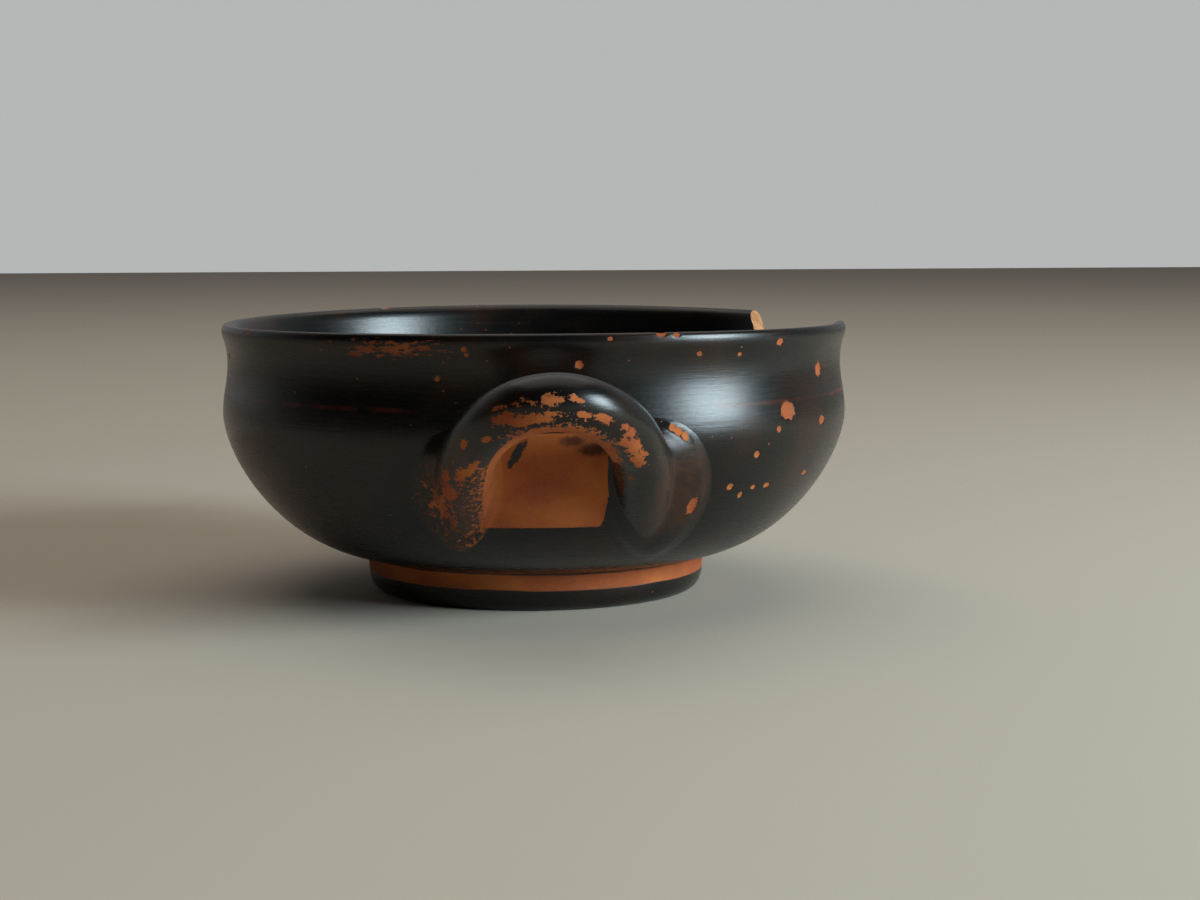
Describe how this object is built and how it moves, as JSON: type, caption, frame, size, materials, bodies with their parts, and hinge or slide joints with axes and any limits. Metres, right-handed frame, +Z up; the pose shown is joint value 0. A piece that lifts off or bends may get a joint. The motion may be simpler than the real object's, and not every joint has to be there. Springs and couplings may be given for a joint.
{
  "type": "stemless kylix cup",
  "caption": "Shallow two-handled drinking cup of black-gloss fired clay on a low ring foot, with an inset lip, canted loop handles and a piece of the rim missing.",
  "frame": {"origin": "on the axis of the bowl, at the level of the surface that the foot ring stands on", "axes": "+Z up along the axis of the bowl, Y across the two handles with the front handle towards -Y, X to the sides, the missing piece of the rim on the +X side towards +Y"},
  "size_m": [0.1302, 0.1864, 0.0567],
  "materials": {
    "black_gloss_clay": "near-black satin slip over orange fired clay, worn to the clay in spots, with reserved bands and panels left orange"
  },
  "bodies": {
    "root": {"cup": "black_gloss_clay"}
  },
  "joints": []
}
